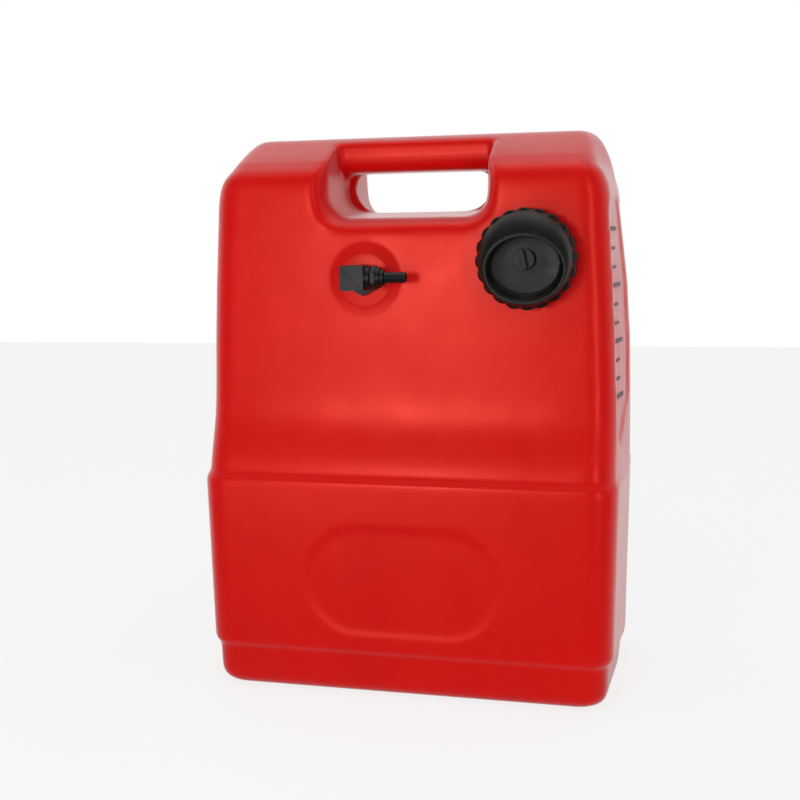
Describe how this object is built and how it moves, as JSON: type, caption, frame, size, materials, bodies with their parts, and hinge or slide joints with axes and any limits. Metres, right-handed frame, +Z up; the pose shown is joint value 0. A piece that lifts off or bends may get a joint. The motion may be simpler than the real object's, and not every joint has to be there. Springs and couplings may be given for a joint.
{
  "type": "portable outboard fuel tank",
  "caption": "Upright red moulded fuel tank with a carrying slot through its top, a screwed filler cap with a vent screw, and a swivelling hose outlet with pick-up tube.",
  "frame": {"origin": "middle of the flat base the tank stands on", "axes": "+Z up, -Y out of the front face with the cap and the outlet, +X to the right seen from the front"},
  "size_m": [0.3588, 0.2065, 0.4695],
  "materials": {
    "red_polyethylene": "satin blow-moulded polyethylene",
    "grey_marking": "matt",
    "black_plastic": "fine grain",
    "vent_plastic": "satin",
    "fitting_plastic": "satin",
    "black_rubber": "matt",
    "brass": "turned",
    "spring_steel": "bright",
    "steel_mesh": "fine woven wire",
    "clear_tube": "smooth",
    "white_plastic": "satin"
  },
  "bodies": {
    "tank": {"tank_shell": "red_polyethylene", "level_scale": "grey_marking", "outlet_insert": "brass", "outlet_gasket": "black_rubber", "outlet_base": "fitting_plastic", "swivel_seal": "black_rubber", "pickup_tube": "clear_tube", "strainer_stem": "white_plastic", "strainer_cage": "white_plastic", "strainer_screen": "steel_mesh", "tube_clip_top": "spring_steel", "tube_clip_bottom": "spring_steel"},
    "gasket": {"cap_gasket": "black_rubber"},
    "cap": {"filler_cap": "black_plastic", "cap_thread_ring": "black_plastic", "vent_bush": "black_plastic"},
    "vent_washer": {"vent_seal": "black_rubber"},
    "vent_screw": {"vent_knob": "vent_plastic"},
    "elbow": {"outlet_elbow": "fitting_plastic", "swivel_clip": "spring_steel", "barb_seal": "black_rubber", "barb_nut": "fitting_plastic", "hose_barb": "fitting_plastic"}
  },
  "joints": [
    {"name": "cap_lift", "type": "slide", "parent": "tank", "child": "gasket", "axis": [0, -1, 0], "range_m": [0, 0.009]},
    {"name": "cap_turn", "type": "hinge", "parent": "gasket", "child": "cap", "pos_m": [0.103, -0.0955, 0.366], "axis": [0, -1, 0], "range_deg": [0, 540]},
    {"name": "vent_lift", "type": "slide", "parent": "cap", "child": "vent_washer", "axis": [0, -1, 0], "range_m": [0, 0.0024]},
    {"name": "vent_turn", "type": "hinge", "parent": "vent_washer", "child": "vent_screw", "pos_m": [0.103, -0.1005, 0.366], "axis": [0, -1, 0], "range_deg": [0, 540]},
    {"name": "elbow_swivel", "type": "hinge", "parent": "tank", "child": "elbow", "pos_m": [-0.031, -0.096, 0.35], "axis": [0, -1, 0], "continuous": true}
  ],
  "couplings": [
    {"joint": "cap_lift", "follows": "cap_turn", "m_per_rad": 0.00095493},
    {"joint": "vent_turn", "follows": "vent_lift", "rad_per_m": 3927}
  ]
}
